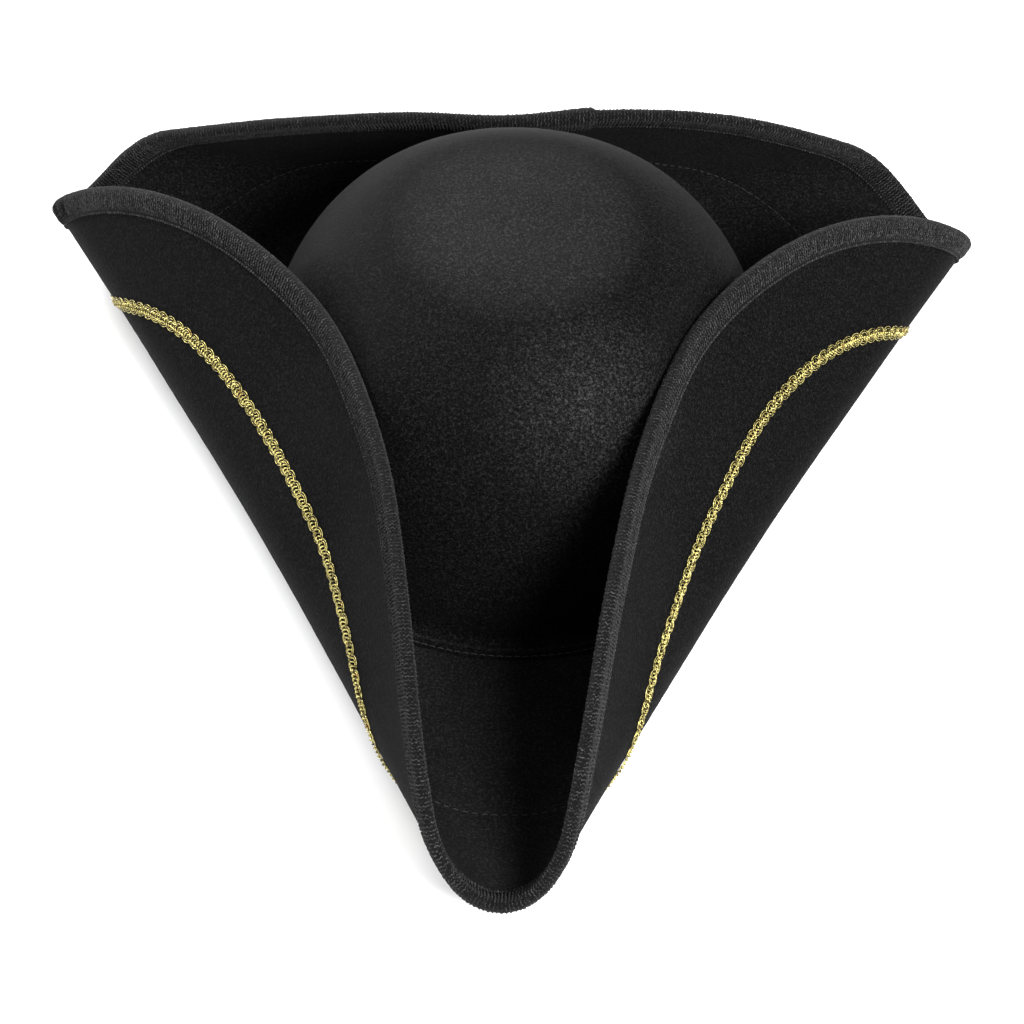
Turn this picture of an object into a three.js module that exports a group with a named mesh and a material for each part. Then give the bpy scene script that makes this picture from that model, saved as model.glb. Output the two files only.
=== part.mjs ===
import * as THREE from "three";

// Three-cornered felt hat, in millimetres. +Z is up and the front point looks towards -Y.
// A turn is an angle in degrees round the head opening, 0 at the front point and 90 towards +X.

// Crown
const HEAD_HALF_WIDTH = 95;
const HEAD_HALF_LENGTH = 97;
const CROWN_HEIGHT = 121;
const CROWN_FULLNESS = 2.85;
const CROWN_FELT = 2.0;
const FLANGE_WIDTH = 6.5;
const FLANGE_BEND = 1.6;

// Brim, measured flat before it is cocked
const BRIM_FELT = 2.2;
const FLAP_RADIUS = 203;
const FOLD_DISTANCE = 85;
const FOLD_RADIUS = 26;
const FOLD_HALF_SPAN = 180;
const CORNER_REACH = 11;
const CORNER_RISE = 9;
const RISE_START = 112;
const RISE_POWER = 1.5;

// Trimmings
const BRAID_WIDTH = 5.8;
const BRAID_THICKNESS = 1.8;
const BRAID_INSET = 40.2;
const BINDING_WIDTH = 7.5;
const BINDING_THICKNESS = 1.2;
const BINDING_ROLL = 2.0;
const ROLL_SHARE = 0.55;

const CLEARANCE = 0.3;
const TURNS = 90;
const CORNER_CROWDING = 0.1;
const PROBE = 0.05;

// Each flap is one straight fold across the brim. Start is a share of FOLD_DISTANCE and the
// radii are shares of FOLD_RADIUS; the angles are how far the felt turns over. Both are given at
// the flap's middle and at its two ends. Twist is how much further the felt turns over at the
// end on the left, looking along the fold's turn, and less at the other.
const FOLDS = [
  { turn: 61.8, start: 0.996, angle: 116.3, endAngle: 99.7, twist: 4.3, radius: 0.85, endRadius: 1.26 },
  { turn: 181.1, start: 1.149, angle: 116.0, endAngle: 121.9, twist: 5.6, radius: 0.95, endRadius: 1.13 },
  { turn: 298.2, start: 0.999, angle: 119.6, endAngle: 95.3, twist: -1.7, radius: 0.94, endRadius: 1.33 },
];

// Reach and rise are shares of CORNER_REACH and CORNER_RISE.
const CORNERS = [
  { turn: 0, reach: 1.73, halfTurn: 49, rise: 0.99 },
  { turn: 114.4, reach: 0, halfTurn: 59, rise: 0.8 },
  { turn: 243, reach: 0.65, halfTurn: 58, rise: 0.97 },
];

// The braid runs further in from the cut edge along both side flaps and at the front point. More
// is a share of BRAID_INSET.
const BRAID_BOWS = [
  { turn: 0, more: 0.2, halfTurn: 13 },
  { turn: 53, more: 0.25, halfTurn: 27 },
  { turn: -61, more: 0.23, halfTurn: 24 },
];

// Soft waves of the flaps and the pull of the threads that hold them to the crown. Reach is
// the share of the brim's width where the wave is deepest, and depth is a share of BRIM_FELT,
// positive towards the crown. They fade out before the flat part by the crown.
const WAVES_START = 0.2;
const WAVES_FULL = 0.5;
const TACK_PULL = 0.8;
const WAVES = [
  { turn: 44, reach: 0.72, depth: 0.75, halfTurn: 7, halfReach: 0.3 },
  { turn: -44, reach: 0.72, depth: 0.75, halfTurn: 7, halfReach: 0.3 },
  { turn: 62, reach: 1.0, depth: TACK_PULL, halfTurn: 8, halfReach: 0.25 },
  { turn: -64, reach: 1.0, depth: TACK_PULL, halfTurn: 8, halfReach: 0.25 },
  { turn: 181, reach: 1.0, depth: 1.75, halfTurn: 8.5, halfReach: 0.3 },
  { turn: 158, reach: 0.95, depth: -0.8, halfTurn: 11, halfReach: 0.3 },
  { turn: 209, reach: 0.85, depth: -0.2, halfTurn: 10, halfReach: 0.3 },
];

// Where a flap leans on the crown, the crown's middle stays this far from the flap's middle.
// The press sets in over the softness, a length, and only above the start, a share of the
// crown's height.
const PRESS_ROOM = BRIM_FELT / 2 + BINDING_THICKNESS + CROWN_FELT / 2 + 2 * CLEARANCE + TACK_PULL * BRIM_FELT;
const PRESS_SOFTNESS = 5;
const PRESS_START = 0.3;

// Shallow dents of the crown. Up is a share of the crown's height and depth a share of
// CROWN_FELT, inwards.
const DENTS = [
  { turn: 24, up: 0.7, depth: 0.8, halfTurn: 22, halfUp: 0.1 },
  { turn: -48, up: 0.5, depth: 0.6, halfTurn: 26, halfUp: 0.2 },
  { turn: 150, up: 0.6, depth: 0.7, halfTurn: 30, halfUp: 0.18 },
  { turn: 180, up: 0.87, depth: 0.85, halfTurn: 30, halfUp: 0.12 },
];

// Rows of the crown's wall, as shares of its height, and free rows of the brim, as shares of
// the way from the flange to the braid and from the braid to the binding.
const WALL_ROWS = [0.035, 0.18, 0.34, 0.49, 0.62, 0.74, 0.84, 0.92, 0.975];
const BEND_ROWS = [0.17, 0.34, 0.51, 0.68, 0.84];
const FLAP_ROWS = [0.36, 0.7];

const radians = THREE.MathUtils.degToRad;

function turnGap(a, b) {
  return THREE.MathUtils.euclideanModulo(a - b + 180, 360) - 180;
}

function bell(distance, halfWidth) {
  return Math.exp(-((distance / halfWidth) ** 2));
}

// Level direction at a turn.
function outward(turn) {
  return new THREE.Vector2(Math.sin(radians(turn)), -Math.cos(radians(turn)));
}

// Outer radius of the crown's foot.
function footRadius(turn) {
  const across = Math.sin(radians(turn)) / HEAD_HALF_WIDTH;
  const along = Math.cos(radians(turn)) / HEAD_HALF_LENGTH;
  return 1 / Math.hypot(across, along);
}

// Radius of the flat brim's cut edge.
function edgeRadius(turn) {
  let radius = FLAP_RADIUS;
  for (const corner of CORNERS) {
    const gap = turnGap(turn, corner.turn);
    if (Math.abs(gap) < corner.halfTurn) {
      const wave = (1 + Math.cos((Math.PI * gap) / corner.halfTurn)) / 2;
      radius += CORNER_REACH * corner.reach * wave;
    }
  }
  return radius;
}

// Distance of the braid's middle in from the cut edge.
function braidInset(turn) {
  let share = 1;
  for (const bow of BRAID_BOWS) share += bow.more * bell(turnGap(turn, bow.turn), bow.halfTurn);
  return BRAID_INSET * share;
}

// Distance of a level point to the side of a fold's middle.
function sideOf(out, level) {
  return level.y * out.x - level.x * out.y;
}

// How far a fold turns the felt over and how wide it bends, at a distance to the side.
function foldBend(fold, side) {
  const end = (side / FOLD_HALF_SPAN) ** 2;
  const turned = THREE.MathUtils.lerp(fold.angle, fold.endAngle, end);
  const twisted = (fold.twist * side) / FOLD_HALF_SPAN;
  const radius = FOLD_RADIUS * THREE.MathUtils.lerp(fold.radius, fold.endRadius, end);
  return { angle: radians(turned + twisted), radius };
}

// How far one fold moves a point of the flat brim.
function foldShift(fold, flat) {
  const out = outward(fold.turn);
  const past = flat.dot(out) - fold.start * FOLD_DISTANCE;
  if (past <= 0) return new THREE.Vector3();
  const { angle, radius } = foldBend(fold, sideOf(out, flat));
  const bent = Math.min(past / radius, angle);
  const straight = Math.max(past - radius * angle, 0);
  const level = radius * Math.sin(bent) + straight * Math.cos(bent);
  const raised = radius * (1 - Math.cos(bent)) + straight * Math.sin(bent);
  return new THREE.Vector3(out.x * (level - past), out.y * (level - past), raised);
}

// The cocked brim's middle surface over a point of the flat brim.
function cocked(flat) {
  const point = new THREE.Vector3(flat.x, flat.y, 0);
  for (const fold of FOLDS) point.add(foldShift(fold, flat));
  for (const corner of CORNERS) {
    const along = flat.dot(outward(corner.turn)) - RISE_START;
    const share = Math.max(along, 0) / (FLAP_RADIUS - RISE_START);
    point.z += CORNER_RISE * corner.rise * share ** RISE_POWER;
  }
  return point;
}

function cockedNormal(flat) {
  const here = cocked(flat);
  const alongX = cocked(new THREE.Vector2(flat.x + PROBE, flat.y)).sub(here);
  const alongY = cocked(new THREE.Vector2(flat.x, flat.y + PROBE)).sub(here);
  return alongX.cross(alongY).normalize();
}

function waveDepth(radius, turn) {
  const foot = footRadius(turn);
  const reach = (radius - foot) / (edgeRadius(turn) - foot);
  let depth = 0;
  for (const wave of WAVES) {
    const place = bell(turnGap(turn, wave.turn), wave.halfTurn) * bell(reach - wave.reach, wave.halfReach);
    depth += wave.depth * BRIM_FELT * place;
  }
  return depth * THREE.MathUtils.smoothstep(reach, WAVES_START, WAVES_FULL);
}

// A point at a height over the brim's middle surface, on the side of the crown.
function brimPoint(radius, turn, height) {
  const flat = outward(turn).multiplyScalar(radius);
  const normal = cockedNormal(flat);
  return cocked(flat).addScaledVector(normal, height + waveDepth(radius, turn));
}

// How far out along a fold's direction the crown's middle may reach at a height, where that
// flap leans on it.
function pressLimit(fold, side, height) {
  const { angle, radius } = foldBend(fold, side);
  const foot = fold.start * FOLD_DISTANCE + radius * Math.sin(angle);
  const rise = height - radius * (1 - Math.cos(angle));
  return foot + rise / Math.tan(angle) - PRESS_ROOM / Math.sin(angle);
}

// The smaller of two lengths, rounded over where they meet.
function softSmaller(a, b) {
  const lead = Math.max(PRESS_SOFTNESS - Math.abs(a - b), 0) / PRESS_SOFTNESS;
  return Math.min(a, b) - (PRESS_SOFTNESS * lead ** 2) / 4;
}

// Middle of the crown's wall at a share of its height, pressed in by the flaps that lean on it.
function wallMiddle(up, turn) {
  const foot = brimPoint(footRadius(turn), turn, BRIM_FELT / 2 + CLEARANCE + CROWN_FELT / 2).z;
  const spread = (1 - up ** CROWN_FULLNESS) ** (1 / CROWN_FULLNESS);
  let radius = (footRadius(turn) - CROWN_FELT / 2) * spread;
  for (const dent of DENTS) {
    const place = bell(turnGap(turn, dent.turn), dent.halfTurn) * bell(up - dent.up, dent.halfUp);
    radius -= dent.depth * CROWN_FELT * place;
  }
  const level = outward(turn).multiplyScalar(radius);
  const height = foot + up * (CROWN_HEIGHT - CROWN_FELT / 2 - foot);
  for (const fold of FOLDS) {
    const out = outward(fold.turn);
    const reach = level.dot(out);
    const limit = pressLimit(fold, sideOf(out, level), height);
    if (up > PRESS_START) level.addScaledVector(out, softSmaller(reach, limit) - reach);
  }
  return new THREE.Vector3(level.x, level.y, height);
}

function wallPoint(up, turn, height) {
  const here = wallMiddle(up, turn);
  const step = PROBE / CROWN_HEIGHT;
  const alongUp = wallMiddle(up + step, turn).sub(wallMiddle(up - step, turn));
  const alongTurn = wallMiddle(up, turn + PROBE).sub(here);
  const normal = alongTurn.cross(alongUp).normalize();
  return here.addScaledVector(normal, height);
}

// A row of points all the way round, closer together towards the three corners.
function round(pointAt) {
  return Array.from({ length: TURNS }, (_, i) => {
    const even = (2 * Math.PI * i) / TURNS;
    return pointAt(THREE.MathUtils.radToDeg(even - CORNER_CROWDING * Math.sin(3 * even)));
  });
}

// Joins rows into one closed skin. The rows run outwards along the upper side and back along
// the lower side; a skin that is not a ring starts and ends in a single point. Each four-sided
// face is split along its shorter diagonal, so that skins lying on each other bend alike.
function skin(rows, isRing) {
  const positions = [];
  const starts = rows.map((row) => {
    const start = positions.length / 3;
    for (const point of row) positions.push(point.x, point.y, point.z);
    return start;
  });
  const faces = [];
  const bands = isRing ? rows.length : rows.length - 1;
  for (let band = 0; band < bands; band += 1) {
    const next = (band + 1) % rows.length;
    const at = (row, i) => starts[row] + (i % rows[row].length);
    const point = (row, i) => rows[row][i % rows[row].length];
    const isCap = rows[band].length === 1 || rows[next].length === 1;
    for (let i = 0; i < TURNS; i += 1) {
      const rising = point(band, i).distanceTo(point(next, i + 1));
      const falling = point(next, i).distanceTo(point(band, i + 1));
      const isRising = isCap || rising <= falling;
      const near = isRising ? at(next, i + 1) : at(band, i + 1);
      const far = isRising ? at(band, i) : at(next, i);
      if (rows[next].length > 1) faces.push(at(next, i), near, at(band, i));
      if (rows[band].length > 1) faces.push(far, at(next, i + 1), at(band, i + 1));
    }
  }
  const geometry = new THREE.BufferGeometry();
  geometry.setAttribute("position", new THREE.Float32BufferAttribute(positions, 3));
  geometry.setIndex(faces);
  geometry.computeVertexNormals();
  return geometry;
}

// Radii of the brim's rows, from the opening to the cut edge.
const flangeEdge = (turn) => footRadius(turn) + FLANGE_WIDTH;
const flangeBend = (turn) => footRadius(turn) + FLANGE_BEND;
const braidInner = (turn) => edgeRadius(turn) - braidInset(turn) - BRAID_WIDTH / 2;
const braidOuter = (turn) => edgeRadius(turn) - braidInset(turn) + BRAID_WIDTH / 2;
const bindingInner = (turn) => edgeRadius(turn) - BINDING_WIDTH;
const between = (inner, outer, share) => (turn) => THREE.MathUtils.lerp(inner(turn), outer(turn), share);

const BRIM_ROWS = [
  (turn) => footRadius(turn) - CROWN_FELT,
  flangeBend,
  flangeEdge,
  ...BEND_ROWS.map((share) => between(flangeEdge, braidInner, share)),
  braidInner,
  braidOuter,
  ...FLAP_ROWS.map((share) => between(braidOuter, bindingInner, share)),
  bindingInner,
  edgeRadius,
];

function brimGeometry() {
  const half = BRIM_FELT / 2;
  const upper = BRIM_ROWS.map((radius) => round((turn) => brimPoint(radius(turn), turn, half)));
  const lower = BRIM_ROWS.map((radius) => round((turn) => brimPoint(radius(turn), turn, -half)));
  return skin([...upper, ...lower.reverse()], true);
}

function crownGeometry() {
  const half = CROWN_FELT / 2;
  const rest = BRIM_FELT / 2 + CLEARANCE;
  const side = (height) => [
    [new THREE.Vector3(0, 0, CROWN_HEIGHT - half + height)],
    ...WALL_ROWS.map((up) => round((turn) => wallPoint(up, turn, height))).reverse(),
    round((turn) => brimPoint(flangeBend(turn), turn, rest + half + height)),
    round((turn) => brimPoint(flangeEdge(turn), turn, rest + half + height)),
  ];
  return skin([...side(half), ...side(-half).reverse()], false);
}

function braidGeometry() {
  const near = -(BRIM_FELT / 2 + CLEARANCE);
  const far = near - BRAID_THICKNESS;
  const row = (radius, height) => round((turn) => brimPoint(radius(turn), turn, height));
  const face = [row(braidInner, near), row(braidOuter, near)];
  const back = [row(braidOuter, far), row(braidInner, far)];
  return skin([...face, ...back], true);
}

// The tape lies on both faces of the felt and rolls over its cut edge.
function bindingGeometry() {
  const near = BRIM_FELT / 2 + CLEARANCE;
  const far = near + BINDING_THICKNESS;
  const section = [
    { out: -BINDING_WIDTH, height: far },
    { out: 0, height: far },
    { out: BINDING_ROLL, height: far * ROLL_SHARE },
    { out: BINDING_ROLL, height: -far * ROLL_SHARE },
    { out: 0, height: -far },
    { out: -BINDING_WIDTH, height: -far },
    { out: -BINDING_WIDTH, height: -near },
    { out: CLEARANCE, height: -near },
    { out: CLEARANCE, height: near },
    { out: -BINDING_WIDTH, height: near },
  ];
  const row = ({ out, height }) => round((turn) => brimPoint(edgeRadius(turn) + out, turn, height));
  return skin(section.map(row), true);
}

const FELT_COLOUR = new THREE.MeshStandardMaterial({ color: 0x17171a, roughness: 0.95, metalness: 0 });
const TAPE_COLOUR = new THREE.MeshStandardMaterial({ color: 0x2a2a2e, roughness: 0.9, metalness: 0 });
const GOLD_COLOUR = new THREE.MeshStandardMaterial({ color: 0xc8a95c, roughness: 0.45, metalness: 0.5 });

const PIECES = [
  { name: "crown", geometry: crownGeometry(), material: FELT_COLOUR },
  { name: "brim", geometry: brimGeometry(), material: FELT_COLOUR },
  { name: "edge_binding", geometry: bindingGeometry(), material: TAPE_COLOUR },
  { name: "gold_braid", geometry: braidGeometry(), material: GOLD_COLOUR },
];

// The origin is under the middle of the hat's outline, on the plane it rests on.
const box = new THREE.Box3();
for (const piece of PIECES) {
  piece.geometry.computeBoundingBox();
  box.union(piece.geometry.boundingBox);
}
const middle = box.getCenter(new THREE.Vector3());

const hat = new THREE.Group();
hat.name = "tricorn_hat";
for (const piece of PIECES) {
  piece.geometry.translate(-middle.x, -middle.y, BRIM_FELT / 2);
  const mesh = new THREE.Mesh(piece.geometry, piece.material);
  mesh.name = piece.name;
  hat.add(mesh);
}

export default hat;
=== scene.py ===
import math

import bpy
import numpy as np
from mathutils import Matrix, Vector


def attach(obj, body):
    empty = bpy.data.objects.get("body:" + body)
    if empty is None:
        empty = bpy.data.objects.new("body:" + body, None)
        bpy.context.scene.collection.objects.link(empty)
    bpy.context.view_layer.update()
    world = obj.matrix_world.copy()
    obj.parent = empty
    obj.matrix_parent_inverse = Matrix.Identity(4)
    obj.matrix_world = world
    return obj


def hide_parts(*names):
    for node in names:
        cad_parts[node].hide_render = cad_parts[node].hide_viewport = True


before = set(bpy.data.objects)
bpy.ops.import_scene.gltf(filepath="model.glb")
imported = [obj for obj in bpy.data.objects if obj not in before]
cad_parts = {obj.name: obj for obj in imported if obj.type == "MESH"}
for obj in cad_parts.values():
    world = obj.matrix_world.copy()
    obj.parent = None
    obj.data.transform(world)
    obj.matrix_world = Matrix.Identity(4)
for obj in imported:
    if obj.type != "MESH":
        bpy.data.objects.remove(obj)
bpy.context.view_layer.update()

# Sizes are in millimetres and become metres when a mesh is made. A turn is an angle in degrees
# round the head opening, 0 at the front point and 90 towards +X.
MM = 0.001

# Camera, at the photograph's angle
CAMERA_ELEVATION = 49.15
CAMERA_AZIMUTH = 0.22
CAMERA_ROLL = 1.12
CAMERA_DISTANCE = 1000
CAMERA_AIM = (2.8, -10.0, 29.1)
CAMERA_LENS = 97.3
CAMERA_SENSOR = 36

# Crown
HEAD_HALF_WIDTH = 95
HEAD_HALF_LENGTH = 97
CROWN_HEIGHT = 121
CROWN_FULLNESS = 2.85
CROWN_FELT = 2.0
FLANGE_WIDTH = 6.5
FLANGE_EDGE_FELT = 0.1
FILLET_UP = 0.055
FILLET_REACH = 4.6

# Brim, measured flat before it is cocked
BRIM_FELT = 2.2
FLAP_RADIUS = 203
FOLD_DISTANCE = 85
FOLD_RADIUS = 26
FOLD_HALF_SPAN = 180
CORNER_REACH = 11
CORNER_RISE = 9
RISE_START = 112
RISE_POWER = 1.5
CROWN_PLACE = (2.752, 46.433, BRIM_FELT / 2)

# Trimmings
BRAID_WIDTH = 5.8
BRAID_INSET = 40.2
BRAID_PITCH = 5.3
BRAID_THREAD = 0.18
BINDING_WIDTH = 7.5
BINDING_THICKNESS = 1.2
BINDING_ROLL = 2.0
SELVEDGE_WIDTH = 1.1

CLEARANCE = 0.3
CORNER_CROWDING = 0.1
PROBE = 0.05

# Each flap is one straight fold. Start is a share of FOLD_DISTANCE and the radii are shares of
# FOLD_RADIUS; the angles are how far the felt turns over. Both are given at the flap's middle and
# at its two ends. Twist is how much further the felt turns over at the end on the left, looking
# along the fold's turn, and less at the other.
FOLDS = [
    dict(turn=61.8, start=0.996, angle=116.3, end_angle=99.7, twist=4.3, radius=0.85, end_radius=1.26),
    dict(turn=181.1, start=1.149, angle=116.0, end_angle=121.9, twist=5.6, radius=0.95, end_radius=1.13),
    dict(turn=298.2, start=0.999, angle=119.6, end_angle=95.3, twist=-1.7, radius=0.94, end_radius=1.33),
]

# Reach and rise are shares of CORNER_REACH and CORNER_RISE.
CORNERS = [
    dict(turn=0, reach=1.73, half_turn=49, rise=0.99),
    dict(turn=114.4, reach=0, half_turn=59, rise=0.8),
    dict(turn=243, reach=0.65, half_turn=58, rise=0.97),
]

# The braid runs further in from the cut edge along both side flaps and at the front point. More
# is a share of BRAID_INSET.
BRAID_BOWS = [
    dict(turn=0, more=0.2, half_turn=13),
    dict(turn=53, more=0.25, half_turn=27),
    dict(turn=-61, more=0.23, half_turn=24),
]

# Soft waves of the flaps and the pull of the threads that hold them to the crown. Depth is a
# share of BRIM_FELT, positive towards the crown.
WAVES_START = 0.2
WAVES_FULL = 0.5
TACK_PULL = 0.8
WAVES = [
    dict(turn=44, reach=0.72, depth=0.75, half_turn=7, half_reach=0.3),
    dict(turn=-44, reach=0.72, depth=0.75, half_turn=7, half_reach=0.3),
    dict(turn=62, reach=1.0, depth=TACK_PULL, half_turn=8, half_reach=0.25),
    dict(turn=-64, reach=1.0, depth=TACK_PULL, half_turn=8, half_reach=0.25),
    dict(turn=181, reach=1.0, depth=1.75, half_turn=8.5, half_reach=0.3),
    dict(turn=158, reach=0.95, depth=-0.8, half_turn=11, half_reach=0.3),
    dict(turn=209, reach=0.85, depth=-0.2, half_turn=10, half_reach=0.3),
]

# Slight unevenness of hand-blocked felt: so many ripples round the brim, so deep at its edge.
RIPPLES = [
    dict(count=7, phase=0.6, depth=0.16),
    dict(count=11, phase=2.1, depth=0.10),
    dict(count=19, phase=4.0, depth=0.06),
]

# Where the front of the crown carries a painted highlight, and how far it reaches.
PAINTED_HIGHLIGHT_PLACE = (29, -20, 98)
PAINTED_HIGHLIGHT_REACH = 38

# The flaps that lean on the crown press its sides in, above PRESS_START of its height.
PRESS_ROOM = BRIM_FELT / 2 + BINDING_THICKNESS + CROWN_FELT / 2 + 2 * CLEARANCE + TACK_PULL * BRIM_FELT
PRESS_SOFTNESS = 5
PRESS_START = 0.3

# Shallow dents of the crown, inwards. Up is a share of its height, depth a share of CROWN_FELT.
DENTS = [
    dict(turn=24, up=0.7, depth=0.8, half_turn=22, half_up=0.1),
    dict(turn=-48, up=0.5, depth=0.6, half_turn=26, half_up=0.2),
    dict(turn=150, up=0.6, depth=0.7, half_turn=30, half_up=0.18),
    dict(turn=180, up=0.87, depth=0.85, half_turn=30, half_up=0.12),
]

# Rows of sewing leave a groove in the brim. Two hold the crown's flange, so far out from its foot,
# and their thread lies over the brim by a share of the crown's felt.
GROOVE_DEPTH = 0.3
GROOVE_HALF_WIDTH = 0.8
FLANGE_SEAMS = [
    dict(out=1.4, lie=1.05),
    dict(out=5.7, lie=0.62),
]
FLANGE_STITCH = dict(Pitch=3.1, Stitch_length=2.3, Stitch_rise=0.35, Thread_radius=0.17)
BRAID_STITCH = dict(Pitch=3.4, Stitch_length=2.3, Stitch_rise=0.3, Thread_radius=0.15)
BRAID_STITCH_SINK = 0.2

# The tape's two ends are lapped at the back edge: it swells towards the lap and steps down. Step
# rows are the first and last extra turns there, and how many.
LAP_TURN = 172.4
LAP_TURNS = 14
LAP_STEP_TURNS = 0.7
LAP_STEP_ROWS = (-0.05, 0.8, 6)
LAP_LIFT = 0.45
LAP_WIDEN = 1.6

# The tape's knitting. Sinks are depths under the tape's outer face, slips are the unevenness of
# the yarn, and the bends are those of one rib's yarn from edge to edge.
KNIT_PITCH = 1.35
KNIT_SLANT = 0.24
KNIT_SLIP = 0.17
KNIT_BENDS = 26
YARN_RADIUS = 0.31
YARN_SINK = 0.27
YARN_SINK_SLIP = 0.06
BODY_SINK = 0.75
BODY_ROLL_SHARE = 0.8
SELVEDGE_DIP = 0.8
SELVEDGE_DIP_REACH = 2.8
SELVEDGE_LIFT = 0.55
SELVEDGE_MIDDLE = 0.35
LUMP_LENGTH = 0.7
TAPE_LINING = 0.12
TAPE_HEM = 0.5

# The braid's strands stand up from its middle, arches at its sides and links across them.
BRAID_LIE = 0.1
BRAID_FORM = dict(Arch_start=0.85, Link_pitch=BRAID_PITCH / 3.5, Link_reach=1.1, Link_rise=0.95)

# How finely the felt and the tape are divided. Starts are distances out from the crown's foot,
# out from the braid's seam and in from the cut edge.
BRIM_TURNS = 540
CROWN_TURNS = 480
LINE_TURNS = 720
MEASURE_TURNS = 2881
OPENING_ROW = 1.2
BEND_START = 9
BEND_ROWS = 15
FLAP_START = 1.8
FLAP_ROWS = 11
EDGE_START = 3
EDGE_FELT = 0.8
DOME_ROWS = 56
DOME_STEPS = 4001
FILLET_ROWS = 8
FLANGE_ROWS = (0.35, 0.7, 1.0)
TAPE_ROWS = 27

# Studio, in metres, watts and shares of white
FLOOR_HALF = 4.0
SKY = 0.6
LAMPS_AIM = (0.0, 0.02, 0.05)
LAMPS = [
    dict(name="key", place=(0.55, -0.83, 0.98), size=0.5, power=37),
    dict(name="back", place=(-0.84, 0.88, 0.78), size=0.7, power=34),
]


# Shape of the felt
def turn_gap(a, b):
    return (a - b + 180.0) % 360.0 - 180.0


def bell(distance, half_width):
    return np.exp(-((distance / half_width) ** 2))


def ease(value, start, full):
    share = np.clip((value - start) / (full - start), 0, 1)
    return share * share * (3 - 2 * share)


def outward(turn):
    angle = np.radians(turn)
    return np.stack([np.sin(angle), -np.cos(angle)], -1)


def foot_radius(turn):
    out = outward(turn)
    return 1 / np.hypot(out[..., 0] / HEAD_HALF_WIDTH, out[..., 1] / HEAD_HALF_LENGTH)


def edge_radius(turn):
    radius = FLAP_RADIUS + 0 * np.asarray(turn, float)
    for corner in CORNERS:
        gap = turn_gap(turn, corner["turn"])
        wave = (1 + np.cos(np.pi * gap / corner["half_turn"])) / 2
        radius = radius + CORNER_REACH * corner["reach"] * np.where(abs(gap) < corner["half_turn"], wave, 0)
    return radius


def braid_radius(turn):
    """Radius of the braid's middle on the flat brim."""
    share = 1
    for bow in BRAID_BOWS:
        share = share + bow["more"] * bell(turn_gap(turn, bow["turn"]), bow["half_turn"])
    return edge_radius(turn) - BRAID_INSET * share


def side_of(out, level):
    """Distance of level points to the side of a fold's middle."""
    return level[..., 1] * out[0] - level[..., 0] * out[1]


def fold_bend(fold, side):
    """How far a fold turns the felt over and how wide it bends, at distances to the side."""
    end = (side / FOLD_HALF_SPAN) ** 2
    twist = fold["twist"] * side / FOLD_HALF_SPAN
    angle = fold["angle"] + (fold["end_angle"] - fold["angle"]) * end + twist
    radius = fold["radius"] + (fold["end_radius"] - fold["radius"]) * end
    return np.radians(angle), FOLD_RADIUS * radius


def fold_shift(fold, flat):
    """How far one fold moves points of the flat brim."""
    out = outward(fold["turn"])
    past = np.maximum(flat @ out - fold["start"] * FOLD_DISTANCE, 0)
    angle, radius = fold_bend(fold, side_of(out, flat))
    bent = np.minimum(past / radius, angle)
    straight = np.maximum(past - radius * angle, 0)
    level = radius * np.sin(bent) + straight * np.cos(bent) - past
    raised = radius * (1 - np.cos(bent)) + straight * np.sin(bent)
    return np.stack([out[0] * level, out[1] * level, raised], -1)


def cocked(flat):
    """Middle surface of the cocked brim over points of the flat brim."""
    points = np.concatenate([flat, np.zeros(flat.shape[:-1] + (1,))], -1)
    for fold in FOLDS:
        points = points + fold_shift(fold, flat)
    for corner in CORNERS:
        along = np.maximum(flat @ outward(corner["turn"]) - RISE_START, 0)
        points[..., 2] += CORNER_RISE * corner["rise"] * (along / (FLAP_RADIUS - RISE_START)) ** RISE_POWER
    return points


def cocked_normal(flat):
    here = cocked(flat)
    along_x = cocked(flat + np.array([PROBE, 0])) - here
    along_y = cocked(flat + np.array([0, PROBE])) - here
    normal = np.cross(along_x, along_y)
    return normal / np.linalg.norm(normal, axis=-1, keepdims=True)


def wave_depth(radius, turn):
    foot = foot_radius(turn)
    reach = (radius - foot) / (edge_radius(turn) - foot)
    depth = 0
    for wave in WAVES:
        place = bell(turn_gap(turn, wave["turn"]), wave["half_turn"])
        depth = depth + wave["depth"] * BRIM_FELT * place * bell(reach - wave["reach"], wave["half_reach"])
    for ripple in RIPPLES:
        swing = np.sin(ripple["count"] * np.radians(turn) + ripple["phase"])
        depth = depth + ripple["depth"] * swing * reach
    return depth * ease(reach, WAVES_START, WAVES_FULL)


def brim_point(radius, turn, height):
    """Points at a height over the brim's middle surface, on the side of the crown."""
    radius, turn, height = np.broadcast_arrays(radius, turn, height)
    flat = outward(turn) * radius[..., None]
    return cocked(flat) + cocked_normal(flat) * (height + wave_depth(radius, turn))[..., None]


def press_limit(fold, side, height):
    """How far out along a fold the crown's middle may reach where that flap leans on it."""
    angle, radius = fold_bend(fold, side)
    foot = fold["start"] * FOLD_DISTANCE + radius * np.sin(angle)
    rise = height - radius * (1 - np.cos(angle))
    return foot + rise / np.tan(angle) - PRESS_ROOM / np.sin(angle)


def soft_smaller(a, b):
    lead = np.maximum(PRESS_SOFTNESS - abs(a - b), 0) / PRESS_SOFTNESS
    return np.minimum(a, b) - PRESS_SOFTNESS * lead**2 / 4


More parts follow.
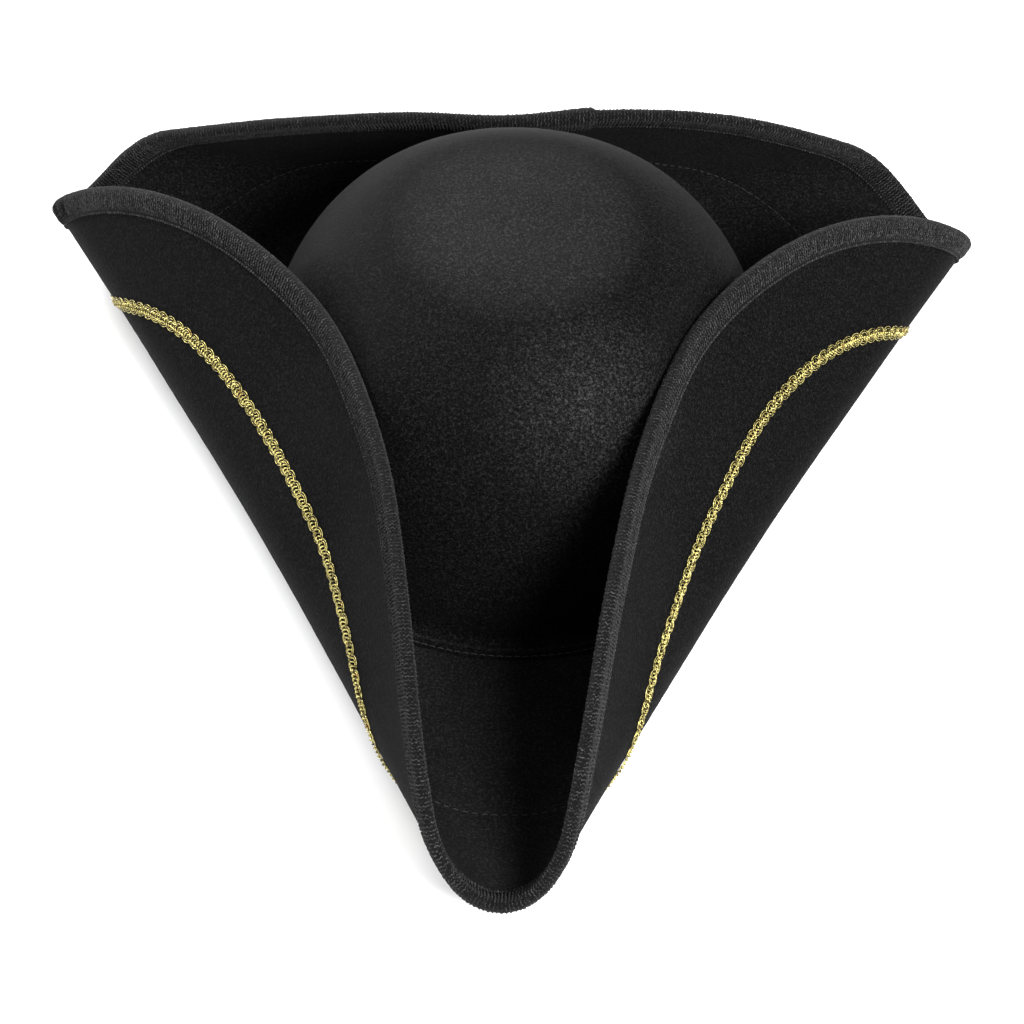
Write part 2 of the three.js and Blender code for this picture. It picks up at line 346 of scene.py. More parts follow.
def wall_middle(up, turn):
    """Middle of the crown's wall at a share of its height, pressed in by the flaps."""
    up, turn = np.broadcast_arrays(up, turn)
    foot = brim_point(foot_radius(turn), turn, BRIM_FELT / 2 + CLEARANCE + CROWN_FELT / 2)[..., 2]
    radius = (foot_radius(turn) - CROWN_FELT / 2) * (1 - up**CROWN_FULLNESS) ** (1 / CROWN_FULLNESS)
    for dent in DENTS:
        beside = bell(turn_gap(turn, dent["turn"]), dent["half_turn"])
        above = bell(up - dent["up"], dent["half_up"])
        radius = radius - dent["depth"] * CROWN_FELT * (beside * above)
    level = outward(turn) * radius[..., None]
    height = foot + up * (CROWN_HEIGHT - CROWN_FELT / 2 - foot)
    for fold in FOLDS:
        out = outward(fold["turn"])
        reach = level @ out
        limit = press_limit(fold, side_of(out, level), height)
        pressed = np.where(up > PRESS_START, soft_smaller(reach, limit) - reach, 0)
        level = level + out * pressed[..., None]
    return np.concatenate([level, height[..., None]], -1)


def round_turns(count):
    """Turns all the way round, closer together towards the three corners."""
    even = 2 * np.pi * np.arange(count) / count
    return np.degrees(even - CORNER_CROWDING * np.sin(3 * even))


def evenly(points, count, closed=False):
    """Parameters from 0 to 1 that divide a line of points into equal lengths."""
    lengths = np.linalg.norm(np.diff(points, axis=0), axis=1)
    run = np.concatenate([[0], np.cumsum(lengths)])
    steps = np.linspace(0, run[-1], count, endpoint=not closed)
    return np.interp(steps, run, np.linspace(0, 1, len(points)))


def evenly_spaced_turns(radius, height, pitch):
    """Turns that lie one pitch apart along a line round the brim."""
    turns = np.linspace(0, 360, MEASURE_TURNS)
    points = brim_point(radius(turns), turns, height)
    length = np.linalg.norm(np.diff(points, axis=0), axis=1).sum()
    return 360 * evenly(points, round(length / pitch), closed=True)


def thickened(grid, thickness):
    """The two faces of a felt whose middle rows are given, outer face first."""
    along_rows = np.gradient(grid, axis=0)
    along_turns = np.roll(grid, -1, axis=1) - np.roll(grid, 1, axis=1)
    normal = np.cross(along_rows, along_turns)
    normal /= np.linalg.norm(normal, axis=-1, keepdims=True)
    half = normal * thickness / 2
    return grid + half, grid - half


# Meshes
def finished(name, mesh, node, material):
    """A piece of the hat that rides on its body and stands for its node."""
    piece = bpy.data.objects.new(name, mesh)
    bpy.context.scene.collection.objects.link(piece)
    if not mesh.materials:
        mesh.materials.append(material)
    mesh.shade_smooth()
    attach(piece, "root")
    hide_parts(node)
    return piece


def placed(points):
    return (np.asarray(points) + CROWN_PLACE) * MM


def skin(name, rows, is_ring):
    """Joins rows into one closed skin. The rows run outwards along the upper side and back
    along the lower side; a skin that is not a ring starts and ends in a single point."""
    columns = max(len(row) for row in rows)
    starts = np.cumsum([0] + [len(row) for row in rows])[:-1]
    index = np.arange(columns)
    turned = (index + 1) % columns
    faces = []
    for band in range(len(rows) if is_ring else len(rows) - 1):
        after = (band + 1) % len(rows)
        near, far = starts[band], starts[after]
        if len(rows[band]) == 1:
            faces += np.stack([far + index, far + turned, 0 * index + near], 1).tolist()
        elif len(rows[after]) == 1:
            faces += np.stack([0 * index + far, near + turned, near + index], 1).tolist()
        else:
            faces += np.stack([far + index, far + turned, near + turned, near + index], 1).tolist()
    mesh = bpy.data.meshes.new(name)
    mesh.from_pydata(placed(np.concatenate(rows)).tolist(), [], faces)
    mesh.validate()
    return mesh


def lines_mesh(name, lines, closed, ups=None):
    """Lines of points as edges, with the direction away from the felt kept as "up"."""
    starts = np.cumsum([0] + [len(line) for line in lines])
    edges = []
    for start, end in zip(starts, starts[1:]):
        index = np.arange(start, end - 1)
        edges += np.stack([index, index + 1], 1).tolist()
        if closed:
            edges.append([int(end - 1), int(start)])
    mesh = bpy.data.meshes.new(name)
    mesh.from_pydata(placed(np.concatenate(lines)).tolist(), edges, [])
    if ups is not None:
        up = mesh.attributes.new("up", "FLOAT_VECTOR", "POINT")
        up.data.foreach_set("vector", np.concatenate(ups).ravel())
    return mesh


# Nodes for the finishes and the sewing
class Amount:
    """A number that varies over a surface. Arithmetic on it adds Math nodes."""

    def __init__(self, board, socket):
        self.board = board
        self.socket = socket

    def __add__(self, other):
        return self.board.math("ADD", self, other)

    def __sub__(self, other):
        return self.board.math("SUBTRACT", self, other)

    def __rsub__(self, other):
        return self.board.math("SUBTRACT", other, self)

    def __mul__(self, other):
        return self.board.math("MULTIPLY", self, other)

    __radd__ = __add__
    __rmul__ = __mul__


class Board:
    """The nodes of one finish or one sewing tree."""

    def __init__(self, tree):
        self.tree = tree

    def node(self, kind, settings=None, values=None):
        node = self.tree.nodes.new(kind)
        for name, value in (settings or {}).items():
            if name == "stops":
                self.set_stops(node.color_ramp, value)
            else:
                setattr(node, name, value)
        for name, value in (values or {}).items():
            given = value.socket if isinstance(value, Amount) else value
            if isinstance(given, bpy.types.NodeSocket):
                self.tree.links.new(given, node.inputs[name])
            else:
                node.inputs[name].default_value = given
        return node

    def set_stops(self, ramp, stops):
        while len(ramp.elements) < len(stops):
            ramp.elements.new(1)
        for element, (position, level) in zip(ramp.elements, stops):
            element.position = position
            element.color = (level, level, level, 1)

    def math(self, operation, a, b):
        node = self.node("ShaderNodeMath", {"operation": operation}, {0: a, 1: b})
        return Amount(self, node.outputs[0])


class Finish(Board):
    """A procedural material on object coordinates, in metres."""

    def __init__(self, name):
        self.material = bpy.data.materials.new(name)
        self.material.use_nodes = True
        super().__init__(self.material.node_tree)
        self.tree.nodes.clear()
        self.place = self.node("ShaderNodeTexCoord").outputs["Object"]

    def speckle(self, size, detail=2, roughness=0.6):
        """Noise whose grains are about so many millimetres wide."""
        values = {"Vector": self.place, "Scale": 1 / (size * MM), "Detail": detail, "Roughness": roughness}
        return Amount(self, self.node("ShaderNodeTexNoise", None, values).outputs[0])

    def facing_up(self):
        """1 where the surface faces up, 0 where it is upright and -1 where it faces down."""
        normal = self.node("ShaderNodeTexCoord").outputs["Normal"]
        return Amount(self, self.node("ShaderNodeSeparateXYZ", None, {0: normal}).outputs["Z"])

    def upper_face(self):
        """1 on the face of the brim that was its upper one when flat, and 0 elsewhere."""
        note = self.node("ShaderNodeAttribute", {"attribute_name": "upper_face"})
        return Amount(self, note.outputs["Fac"])

    def rim(self):
        """How much the surface turns away from the viewer, 1 at a thread's edges; it drives painted shade
        there.
        """
        away = self.node("ShaderNodeLayerWeight", None, {"Blend": 0.5}).outputs["Facing"]
        return self.ramp(away, [(0.25, 0.0), (0.8, 1.0)])

    def near(self, place, reach):
        """From 1 at a place to 0 so far from it, in millimetres."""
        values = {0: self.place, 1: tuple(x * MM for x in place)}
        away = self.node("ShaderNodeVectorMath", {"operation": "DISTANCE"}, values).outputs["Value"]
        share = Amount(self, away) * (1 / (reach * MM))
        return self.ramp(share, [(0.0, 1.0), (0.4, 0.6), (1.0, 0.0)])

    def ramp(self, amount, stops):
        node = self.node("ShaderNodeValToRGB", {"stops": stops}, {"Fac": amount})
        return Amount(self, node.outputs["Color"])

    def blend(self, amount, first, second):
        """The second colour over the first by an amount. Each is a colour or a socket."""
        values = {0: amount}
        for place, colour in ((6, first), (7, second)):
            values[place] = colour if isinstance(colour, bpy.types.NodeSocket) else (*colour, 1)
        return self.node("ShaderNodeMix", {"data_type": "RGBA"}, values).outputs[2]

    def relief(self, height, depth):
        """Small relief, so many millimetres deep."""
        values = {"Height": height, "Distance": depth * MM, "Strength": 1.0}
        return self.node("ShaderNodeBump", None, values).outputs["Normal"]

    def close(self, **values):
        """The finished material, its sockets named with underscores for spaces."""
        named = {name.replace("_", " "): value for name, value in values.items()}
        surface = self.node("ShaderNodeBsdfPrincipled", None, named)
        self.node("ShaderNodeOutputMaterial", None, {"Surface": surface.outputs[0]})
        return self.material


def cool_grey(level):
    return (level, level, level * 1.03)


def black_felt(name, light, top_light, top_light_stops, gloss):
    """Felt with painted light where it faces up, by the given shares, on its upper face, and as a painted
    highlight near the crown's front.
    """
    dark = 0.001
    felt = Finish(name)
    nap = felt.speckle(1.05, detail=3, roughness=0.75)
    fibre = felt.speckle(0.6, detail=2, roughness=0.7)
    cloud = felt.speckle(45, detail=2)
    grain = felt.ramp(nap * 0.5 + fibre * 0.5, [(0.43, 0.0), (0.53, 0.25), (0.62, 1.0)])
    shade = felt.blend(grain, cool_grey(dark), cool_grey(light))
    # Painted highlight: the grain is lighter near the front of the crown.
    highlighted = felt.blend(grain, cool_grey(2 * dark), (light * 3.4, light * 3.4, light * 3.5))
    shade = felt.blend(felt.near(PAINTED_HIGHLIGHT_PLACE, PAINTED_HIGHLIGHT_REACH), shade, highlighted)
    patchy = 0.6 + 0.4 * felt.ramp(cloud, [(0.3, 0.0), (0.7, 1.0)])
    # Painted light: lighter where the felt faces up, and on the brim's upper face, which becomes the flaps'
    # shaded inner faces; made patchy by a large noise.
    up = (felt.ramp(felt.facing_up(), top_light_stops) + felt.upper_face() * 0.5) * patchy
    pale_top_light = (top_light * 1.7, top_light * 1.7, top_light * 1.73)
    grey = felt.blend(grain, (top_light * 0.45, top_light * 0.45, top_light * 0.46), pale_top_light)
    return felt.close(
        Base_Color=felt.blend(up, shade, grey),
        Roughness=0.55 + 0.2 * fibre,
        Specular_IOR_Level=gloss,
        Sheen_Weight=0.02,
        Sheen_Roughness=0.4,
        Sheen_Tint=(0.5, 0.5, 0.51, 1),
        Normal=felt.relief(nap * 0.6 + fibre * 0.6, 0.5),
    )


def knitted_tape(name, dark, light):
    """Fuzzy yarn, with painted shade towards the edges of its strands."""
    tape = Finish(name)
    fibre = tape.speckle(0.55, detail=3, roughness=0.75)
    patch = tape.speckle(1.6, detail=2)
    bright = tape.ramp(fibre * 0.8 + patch * 0.2, [(0.42, 0.0), (0.52, 0.3), (0.60, 1.0)])
    shade = tape.blend(bright, cool_grey(dark), cool_grey(light))
    # Painted shade: the colour darkens towards the strands' edges, where they turn from the viewer.
    return tape.close(
        Base_Color=tape.blend(tape.rim() * 0.8, shade, cool_grey(dark)),
        Roughness=0.75 + 0.2 * fibre,
        Specular_IOR_Level=0.1,
        Sheen_Weight=0.1,
        Sheen_Roughness=0.45,
        Sheen_Tint=(0.5, 0.5, 0.52, 1),
        Normal=tape.relief(fibre, 0.3),
    )


def gold_thread():
    """Wrapped metallic thread: glints, dark spots that are partly tarnish and partly painted shade of the
    gaps in the wrapping, painted shade at the threads' edges, and a few coppery patches.
    """
    gold = Finish("gold_thread")
    wrap = gold.speckle(0.85, detail=2)
    patch = gold.speckle(3.5, detail=1)
    bright = gold.ramp(wrap, [(0.42, 0.0), (0.56, 1.0)])
    red = gold.ramp(patch, [(0.64, 0.0), (0.74, 0.4)])
    # The dark end is partly tarnish and partly painted shade between the wraps.
    shade = gold.blend(bright, (0.045, 0.03, 0.003), (0.80, 0.70, 0.24))
    thread_top = gold.blend(red, shade, (0.52, 0.27, 0.06))
    # Painted shade: darker towards each thread's edges, where it turns from the viewer.
    return gold.close(
        Base_Color=gold.blend(gold.rim() * 0.6, thread_top, (0.03, 0.018, 0.002)),
        Metallic=0.5,
        Roughness=0.45 - 0.18 * bright,
        Normal=gold.relief(wrap, 0.2),
    )


def sewing_thread():
    thread = Finish("black_sewing_thread")
    twist = thread.speckle(0.25, detail=1)
    return thread.close(
        Base_Color=thread.blend(twist, (0.008, 0.008, 0.0085), (0.036, 0.036, 0.037)),
        Roughness=0.45 + 0.2 * twist,
        Specular_IOR_Level=0.3,
        Normal=thread.relief(twist, 0.08),
    )


class Sewing(Board):
    """A Geometry Nodes tree that makes thread along lines, and runs once to a plain mesh."""

    def __init__(self, name, sizes):
        tree = bpy.data.node_groups.new(name, "GeometryNodeTree")
        tree.is_modifier = True
        super().__init__(tree)
        tree.interface.new_socket("Lines", in_out="INPUT", socket_type="NodeSocketGeometry")
        tree.interface.new_socket("Thread", in_out="INPUT", socket_type="NodeSocketMaterial")
        for size in sizes:
            tree.interface.new_socket(size, in_out="INPUT", socket_type="NodeSocketFloat")
        tree.interface.new_socket("Sewn", in_out="OUTPUT", socket_type="NodeSocketGeometry")
        self.given = self.node("NodeGroupInput").outputs
        self.line = self.out("GeometryNodeMeshToCurve", None, {"Mesh": self.given["Lines"]})

    def out(self, kind, settings=None, values=None):
        """The first output of a new node."""
        return self.node(kind, settings, values).outputs[0]

    def size(self, name):
        return Amount(self, self.given[name])

    def vector(self, x, y, z):
        return self.out("ShaderNodeCombineXYZ", None, {0: x, 1: y, 2: z})

    def thread(self, line, radius, sides):
        """A thread round a line, closed at its ends."""
        circle = {"Resolution": sides, "Radius": radius}
        profile = self.out("GeometryNodeCurvePrimitiveCircle", {"mode": "RADIUS"}, circle)
        values = {"Curve": line, "Profile Curve": profile, "Fill Caps": True}
        return self.out("GeometryNodeCurveToMesh", None, values)

    def row(self, shape, pitch, backwards=False, unevenness=0.0):
        """The shape repeated along the lines, its X along them and its Z away from the felt.
        Unevenness is how far its size varies, as a share."""
        evenly_cut = {"Curve": self.line, "Length": pitch}
        spaced = self.out("GeometryNodeResampleCurve", {"mode": "LENGTH"}, evenly_cut)
        along = self.out("GeometryNodeInputTangent")
        if backwards:
            along = self.out("ShaderNodeVectorMath", {"operation": "SCALE"}, {0: along, "Scale": -1.0})
        vector = {"data_type": "FLOAT_VECTOR"}
        up = self.out("GeometryNodeInputNamedAttribute", vector, {"Name": "up"})
        axes = {"primary_axis": "X", "secondary_axis": "Z"}
        turned = self.out("FunctionNodeAxesToRotation", axes, {0: along, 1: up})
        scales = {0: (1 - unevenness,) * 3, 1: (1 + unevenness,) * 3, "Seed": 7}
        scale = self.out("FunctionNodeRandomValue", vector, scales)
        values = {"Points": spaced, "Instance": shape, "Rotation": turned, "Scale": scale}
        return self.out("GeometryNodeInstanceOnPoints", None, values)

    def joined(self, *parts):
        join = self.node("GeometryNodeJoinGeometry")
        for part in parts:
            self.tree.links.new(part, join.inputs[0])
        return join.outputs[0]

    def close(self, made):
        real = self.out("GeometryNodeRealizeInstances", None, {0: made})
        smooth = self.out("GeometryNodeSetShadeSmooth", None, {"Geometry": real})
        values = {"Geometry": smooth, "Material": self.given["Thread"]}
        self.node("NodeGroupOutput", None, {0: self.out("GeometryNodeSetMaterial", None, values)})
        return self

    def sew(self, name, lines, material, **sizes):
        """Runs the tree on a mesh of lines, sizes in millimetres, and gives a plain mesh."""
        worker = bpy.data.objects.new(name + "_lines", lines)
        bpy.context.scene.collection.objects.link(worker)
        sewing = worker.modifiers.new("sewing", "NODES")
        sewing.node_group = self.tree
        values = {key.replace("_", " "): value * MM for key, value in sizes.items()}
        for socket in self.tree.interface.items_tree:
            if socket.in_out == "INPUT" and socket.name in values:
                sewing[socket.identifier] = values[socket.name]
            elif socket.in_out == "INPUT" and socket.name == "Thread":
                sewing[socket.identifier] = material
        sewn = worker.evaluated_get(bpy.context.evaluated_depsgraph_get())
        mesh = bpy.data.meshes.new_from_object(sewn)
        mesh.name = name
        bpy.data.objects.remove(worker)
        return mesh


def stitch_tree():
    """A row of single stitches that dip into the felt at their ends."""
    sewing = Sewing("row_of_stitches", ["Pitch", "Stitch length", "Stitch rise", "Thread radius"])
    radius = sewing.size("Thread radius")
    half = sewing.size("Stitch length") * 0.5
    dip = radius * -1.5
    arch = {
        "Resolution": 5,
        "Start": sewing.vector(half * -1, 0, dip),
        "Middle": sewing.vector(0, 0, sewing.size("Stitch rise")),
        "End": sewing.vector(half, 0, dip),
    }
    stitch = sewing.thread(sewing.out("GeometryNodeCurveQuadraticBezier", None, arch), radius, 5)
    return sewing.close(sewing.row(stitch, sewing.size("Pitch")))


def knit_tree():
    """Yarn round each of the knitted tape's ribs."""
    sewing = Sewing("knitted_ribs", ["Yarn radius"])
    return sewing.close(sewing.thread(sewing.line, sewing.size("Yarn radius"), 3))


def selvedge_tree():
    """The lumpy edge of the tape, one lump for each loop of yarn."""
    sewing = Sewing("tape_selvedge", ["Pitch", "Lump length", "Lump width"])
    lump = sewing.out("GeometryNodeMeshIcoSphere", None, {"Radius": 0.5, "Subdivisions": 1})
    wide = sewing.size("Lump width")
    scale = sewing.vector(sewing.size("Lump length"), wide, wide * 0.8)
    lump = sewing.out("GeometryNodeTransform", None, {"Geometry": lump, "Scale": scale})
    return sewing.close(sewing.row(lump, sewing.size("Pitch"), unevenness=0.3))


def braid_tree():
    """Gimp braid: double arches along both sides and two rows of slanting links between."""
    sizes = ["Pitch", "Thread radius", "Half width", "Arch start", "Link pitch", "Link reach", "Link rise"]
    sewing = Sewing("gimp_braid", sizes)
    thread = sewing.size("Thread radius")
    start = sewing.size("Arch start")
    half_length = sewing.size("Pitch") * 0.5
    depth = sewing.size("Half width") - start - thread

    def arch(inward, rise):
        """One strand bent into half an oval that stands on the braid's middle."""
        arc = {
            "Resolution": 9,
            "Radius": 1.0,
            "Start Angle": math.radians(-14),
            "Sweep Angle": math.radians(208),
        }
        oval = {
            "Geometry": sewing.out("GeometryNodeCurveArc", {"mode": "RADIUS"}, arc),
            "Scale": sewing.vector(half_length - inward, depth - inward, 1),
            "Translation": sewing.vector(0, start, rise),
        }
        return sewing.thread(sewing.out("GeometryNodeTransform", None, oval), thread, 4)

    def link(side):
        """One strand that slants from the braid's middle to one side."""
        reach = sewing.size("Link reach")
        slant = {
            "Resolution": 4,
            "Start": sewing.vector(reach * -0.4, reach * (0.08 * side), thread),
            "Middle": sewing.vector(0, reach * (0.5 * side), sewing.size("Link rise") * 2),
            "End": sewing.vector(reach * 0.4, reach * side, thread),
        }
        return sewing.thread(sewing.out("GeometryNodeCurveQuadraticBezier", None, slant), thread * 1.3, 5)

    outer_arch = arch(thread * 0.0, thread * 1.0)
    inner_arch = arch(thread * 4.6, thread * 1.6)
    arches = sewing.joined(outer_arch, inner_arch)
    parts = []
    for backwards in (False, True):
        parts.append(sewing.row(arches, sewing.size("Pitch"), backwards, unevenness=0.05))
    for side in (1, -1):
        parts.append(sewing.row(link(side), sewing.size("Link pitch"), unevenness=0.08))
    return sewing.close(sewing.joined(*parts))


# Pieces
def groove(radius, turn):
    """How deep the rows of sewing pull the felt in."""
    foot = foot_radius(turn)
    rows = [foot + seam["out"] for seam in FLANGE_SEAMS] + [braid_radius(turn)]
    return GROOVE_DEPTH * sum(bell(radius - row, GROOVE_HALF_WIDTH) for row in rows)


def rows_between(start, end, count):
    return [start + (end - start) * share for share in np.linspace(0, 1, count)]


def brim_mesh():
    turns = round_turns(BRIM_TURNS)
    foot = foot_radius(turns)
    edge = edge_radius(turns)
    braid_seam = braid_radius(turns)
    groove_rows = (-GROOVE_HALF_WIDTH, 0, GROOVE_HALF_WIDTH)
    radii = [foot - CROWN_FELT, foot - OPENING_ROW, foot]
    radii += [foot + seam["out"] + step for seam in FLANGE_SEAMS for step in groove_rows]
    radii += rows_between(foot + BEND_START, braid_seam - 2 * GROOVE_HALF_WIDTH, BEND_ROWS)
    radii += [braid_seam + step for step in groove_rows]
    radii += rows_between(braid_seam + FLAP_START, edge - BINDING_WIDTH, FLAP_ROWS)
    radii += [edge - EDGE_START, edge]
    grid = np.stack([brim_point(radius, turns, 0) for radius in radii])
    thickness = np.stack([BRIM_FELT - 2 * groove(radius, turns) for radius in radii])
    thickness[[0, -1]] *= EDGE_FELT
    upper, lower = thickened(grid, thickness[..., None])
    mesh = skin("brim_felt", [*upper, *lower[::-1]], True)
    on_top = np.repeat(np.array([1, 0], dtype=np.float32), upper[..., 0].size)
    mesh.attributes.new("upper_face", "FLOAT", "POINT").data.foreach_set("value", on_top)
    return mesh


def crown_mesh():
    turns = round_turns(CROWN_TURNS)
    trial = np.linspace(1, FILLET_UP, DOME_STEPS)
    reach = HEAD_HALF_WIDTH * (1 - trial**CROWN_FULLNESS) ** (1 / CROWN_FULLNESS)
    profile = np.stack([reach, CROWN_HEIGHT * trial], 1)
    ups = 1 - (1 - FILLET_UP) * evenly(profile, DOME_ROWS)
    rows = [wall_middle(up, turns) for up in ups[1:]]
    thickness = [CROWN_FELT] * len(rows)
    foot = foot_radius(turns)
    lie = BRIM_FELT / 2 + CLEARANCE
    wall = rows[-1]
    corner = brim_point(foot - CROWN_FELT / 2, turns, lie + CROWN_FELT / 2)
    flat = brim_point(foot + FILLET_REACH, turns, lie + CROWN_FELT / 2)
    for share in np.linspace(0, 1, FILLET_ROWS + 1)[1:]:
        rows.append((1 - share) ** 2 * wall + 2 * share * (1 - share) * corner + share**2 * flat)
        thickness.append(CROWN_FELT)
    for share in FLANGE_ROWS:
        felt = CROWN_FELT + (FLANGE_EDGE_FELT - CROWN_FELT) * share
        reach = FILLET_REACH + (FLANGE_WIDTH - FILLET_REACH) * share
        rows.append(brim_point(foot + reach, turns, lie + felt / 2))
        thickness.append(felt)
    grid = np.stack(rows)
    outer, inner = thickened(grid, np.array(thickness)[:, None, None])
    top = wall_middle(np.array([1.0]), np.array([0.0]))
    top[:, :2] = 0
    rise = np.array([0, 0, CROWN_FELT / 2])
    return skin("crown_felt", [top + rise, *outer, *inner[::-1], top - rise], False)


def tape_lap(turn):
    """From 0 to 1 towards the place where the tape's ends are lapped."""
    past = turn_gap(turn, LAP_TURN)
    return ease(LAP_TURNS - past, 0, LAP_TURNS) * ease(past, 0, LAP_STEP_TURNS)


def tape_radius(out, turn):
    """Radius on the flat brim of a place on the tape, out from the cut edge."""
    wider = 1 + LAP_WIDEN / BINDING_WIDTH * tape_lap(turn)
    return edge_radius(turn) + np.where(out < 0, out * wider, out)


def tape_section(share):
    """Out from the cut edge and height over the felt's middle, from the upper face's inner edge
    round the roll to the lower face's."""
    far = BRIM_FELT / 2 + CLEARANCE + BINDING_THICKNESS
    flat = BINDING_WIDTH - SELVEDGE_WIDTH
    turn_length = np.pi * (far + BINDING_ROLL) / 2
    run = share * (2 * flat + turn_length)
    swing = np.clip((run - flat) / turn_length, 0, 1) * np.pi
    out = np.where(run < flat, run - flat, np.where(run > flat + turn_length, flat + turn_length - run, 0))
    dip = SELVEDGE_DIP * ease(-out, flat - SELVEDGE_DIP_REACH, flat)
    return out + BINDING_ROLL * np.sin(swing), (far - dip) * np.cos(swing)


def tape_point(share, turn, sink):
    """Points of the tape's outer face, sunk so deep under it."""
    out, height = tape_section(share)
    swell = 1 + LAP_LIFT * tape_lap(turn)
    scale = (abs(height) * swell - sink) / np.maximum(abs(height), 0.01)
    height = np.where(abs(height) > 1, height * scale, height)
    out = np.where(out > 0, out * swell - sink * out / BINDING_ROLL, out)
    return brim_point(tape_radius(out, turn), turn, height)


def tape_mesh():
    """The tape under its ribs, less deep where it rolls over the edge."""
    turns = np.sort(np.concatenate([round_turns(BRIM_TURNS), LAP_TURN + np.linspace(*LAP_STEP_ROWS)]))
    rows = []
    for share in np.linspace(0, 1, TAPE_ROWS):
        sink = BODY_SINK * (1 - BODY_ROLL_SHARE * np.sin(np.pi * share) ** 2)
        rows.append(tape_point(share, turns, sink))
    near = BRIM_FELT / 2 + TAPE_LINING
    lower = [(-BINDING_WIDTH, -near - TAPE_HEM), (-BINDING_WIDTH, -near), (CLEARANCE, -near)]
    upper = [(CLEARANCE, near), (-BINDING_WIDTH, near), (-BINDING_WIDTH, near + TAPE_HEM)]
    for out, height in lower + upper:
        rows.append(brim_point(tape_radius(out, turns), turns, height))
    return skin("tape_body", rows, True)


def knit_lines():
    """The path of the yarn over each rib, slanting to and fro as knitted loops do."""
    turns = evenly_spaced_turns(edge_radius, 0, KNIT_PITCH)
    shares = np.linspace(0.02, 0.98, KNIT_BENDS)
    zigzag = np.resize([-1, 1], len(shares)) * KNIT_SLANT
    rng = np.random.default_rng(4)
    slip = rng.normal(0, KNIT_SLIP, (len(turns), len(shares)))
    sink = YARN_SINK + rng.normal(0, YARN_SINK_SLIP, slip.shape)
    grid_turns = turns[:, None] + np.degrees((zigzag + slip) / FLAP_RADIUS)
    return lines_mesh("knit_lines", list(tape_point(shares[None, :], grid_turns, sink)), False)


def line_round(name, radius, height, side):
    """A closed line at a height over the felt; side is 1 on the crown's side and -1 outside."""
    turns = round_turns(LINE_TURNS)
    points = brim_point(radius(turns), turns, height)
    ups = side * cocked_normal(outward(turns) * radius(turns)[:, None])
    return lines_mesh(name, [points], True, [ups])


def felt_pieces():
    # Shares of painted light from above, by how much the felt faces up.
    crown_top_light_stops = [(0.94, 0.0), (1.0, 1.0)]
    brim_top_light_stops = [(0.7, 0.0), (1.0, 0.5)]
    crown_felt = black_felt("crown_felt", light=0.0135, top_light=0.020, top_light_stops=crown_top_light_stops, gloss=0.03)
    brim_felt = black_felt("brim_felt", light=0.0125, top_light=0.017, top_light_stops=brim_top_light_stops, gloss=0.01)
    finished("crown_felt", crown_mesh(), "crown", crown_felt)
    finished("brim_felt", brim_mesh(), "brim", brim_felt)


def tape_pieces():
    yarn = knitted_tape("tape_yarn", dark=0.003, light=0.075)
    # Painted shade: the tape's body under the ribs is much darker than the yarn, standing in for the shade
    # in the gaps between loops.
    gap_shade = knitted_tape("tape_between_loops", dark=0.001, light=0.007)
    finished("tape_body", tape_mesh(), "edge_binding", gap_shade)
    ribs = knit_tree().sew("tape_ribs", knit_lines(), yarn, Yarn_radius=YARN_RADIUS)
    finished("tape_ribs", ribs, "edge_binding", yarn)

    def selvedge_radius(turn):
        return tape_radius(SELVEDGE_WIDTH * SELVEDGE_MIDDLE - BINDING_WIDTH, turn)

    tree = selvedge_tree()
    sizes = dict(Pitch=KNIT_PITCH, Lump_length=LUMP_LENGTH, Lump_width=SELVEDGE_WIDTH)
    for side, face in ((1, "inner"), (-1, "outer")):
        height = side * (BRIM_FELT / 2 + SELVEDGE_LIFT)
        line = line_round(f"selvedge_{face}", selvedge_radius, height, side)
        lumps = tree.sew(f"tape_selvedge_{face}", line, yarn, **sizes)
        finished(f"tape_selvedge_{face}", lumps, "edge_binding", yarn)


def rows_of_stitches():
    thread = sewing_thread()
    tree = stitch_tree()
    for number, seam in enumerate(FLANGE_SEAMS, 1):
        height = BRIM_FELT / 2 + CLEARANCE + CROWN_FELT * seam["lie"]
        out = seam["out"]
        line = line_round(f"crown_seam_line_{number}", lambda turn: foot_radius(turn) + out, height, 1)
        row = tree.sew(f"crown_seam_{number}", line, thread, **FLANGE_STITCH)
        finished(f"crown_seam_{number}", row, "crown", thread)
    line = line_round("braid_seam_line", braid_radius, BRIM_FELT / 2 - BRAID_STITCH_SINK, 1)
    row = tree.sew("braid_seam", line, thread, **BRAID_STITCH)
    finished("braid_seam", row, "brim", thread)


def gimp_braid():
    gold = gold_thread()
    line = line_round("braid_line", braid_radius, -(BRIM_FELT / 2 + BRAID_LIE), -1)
    sizes = dict(Pitch=BRAID_PITCH, Thread_radius=BRAID_THREAD, Half_width=BRAID_WIDTH / 2)
    braid = braid_tree().sew("gold_gimp_braid", line, gold, **sizes, **BRAID_FORM)
    finished("gold_gimp_braid", braid, "gold_braid", gold)


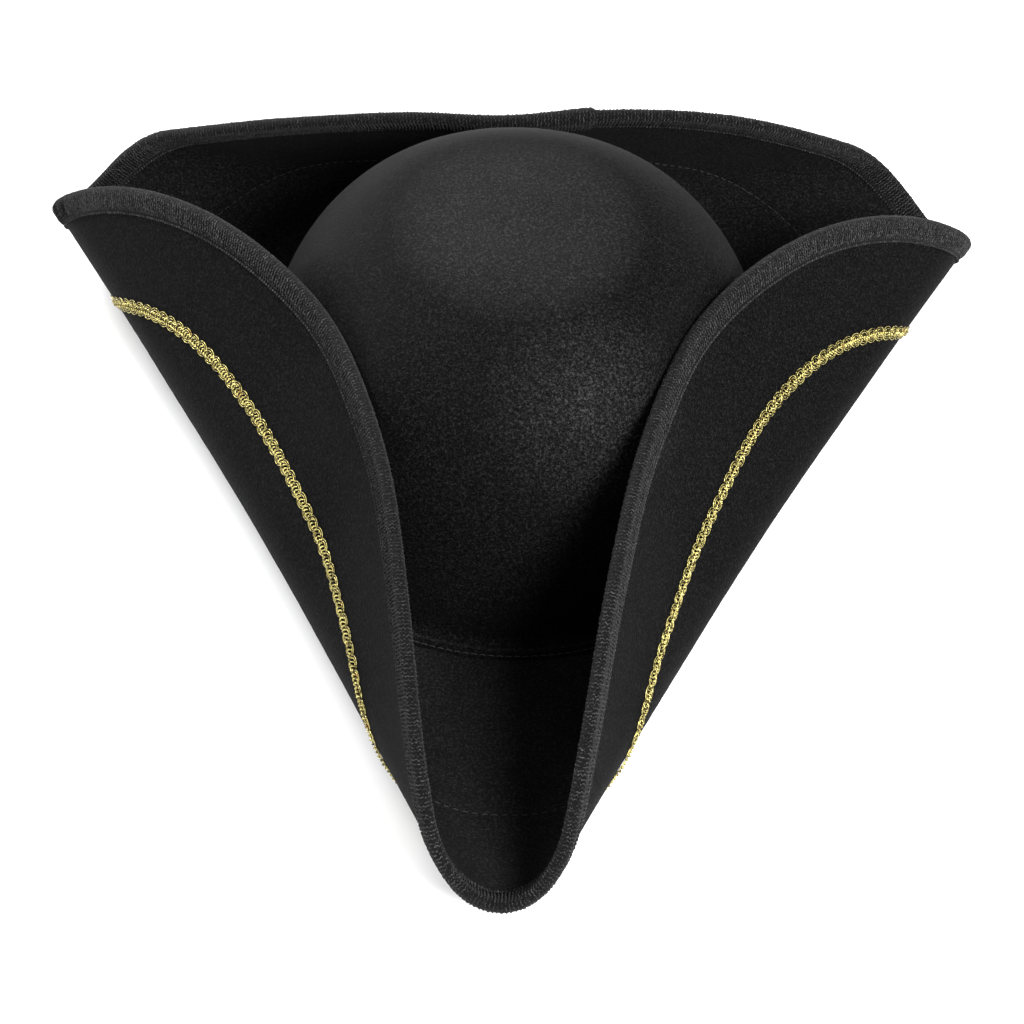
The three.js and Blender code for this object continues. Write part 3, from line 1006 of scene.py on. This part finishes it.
# Floor, light and camera
def pale_floor():
    card = Finish("pale_card")
    tone = card.speckle(400, detail=1)
    surface = card.close(
        Base_Color=card.blend(tone, (0.93, 0.93, 0.93), (0.95, 0.95, 0.95)),
        Roughness=0.85 + 0.05 * tone,
        Specular_IOR_Level=0.1,
    )
    mesh = bpy.data.meshes.new("floor")
    corners = [(x * FLOOR_HALF, y * FLOOR_HALF, 0) for x, y in ((-1, -1), (1, -1), (1, 1), (-1, 1))]
    mesh.from_pydata(corners, [], [(0, 1, 2, 3)])
    mesh.materials.append(surface)
    floor = bpy.data.objects.new("floor", mesh)
    bpy.context.scene.collection.objects.link(floor)


def soft_light(name, place, size, power):
    lamp = bpy.data.lights.new(name, "AREA")
    lamp.shape = "DISK"
    lamp.size = size
    lamp.energy = power
    holder = bpy.data.objects.new(name, lamp)
    holder.location = place
    holder.rotation_euler = (Vector(LAMPS_AIM) - Vector(place)).to_track_quat("-Z", "Y").to_euler()
    bpy.context.scene.collection.objects.link(holder)


def studio():
    world = bpy.data.worlds.new("studio")
    world.use_nodes = True
    board = Board(world.node_tree)
    world.node_tree.nodes.clear()
    sky = board.node("ShaderNodeBackground", None, {"Color": (1.0, 1.0, 1.0, 1), "Strength": SKY})
    board.node("ShaderNodeOutputWorld", None, {"Surface": sky.outputs[0]})
    bpy.context.scene.world = world
    for lamp in LAMPS:
        soft_light(**lamp)
    bpy.context.scene.view_settings.view_transform = "Standard"


def camera():
    angles = (CAMERA_ELEVATION, CAMERA_AZIMUTH, CAMERA_ROLL)
    elevation, azimuth, roll = (math.radians(angle) for angle in angles)
    level = math.cos(elevation)
    back = Vector((math.sin(azimuth) * level, -math.cos(azimuth) * level, math.sin(elevation)))
    right = Vector((math.cos(azimuth), math.sin(azimuth), 0))
    up = back.cross(right)
    right, up = (
        math.cos(roll) * right + math.sin(roll) * up,
        math.cos(roll) * up - math.sin(roll) * right,
    )
    place = (Vector(CAMERA_AIM) + back * CAMERA_DISTANCE) * MM
    lens = bpy.data.cameras.new("camera")
    lens.lens = CAMERA_LENS
    lens.sensor_width = CAMERA_SENSOR
    holder = bpy.data.objects.new("camera", lens)
    holder.matrix_world = Matrix.Translation(place) @ Matrix((right, up, back)).transposed().to_4x4()
    bpy.context.scene.collection.objects.link(holder)
    bpy.context.scene.camera = holder


felt_pieces()
tape_pieces()
rows_of_stitches()
gimp_braid()
pale_floor()
studio()
camera()
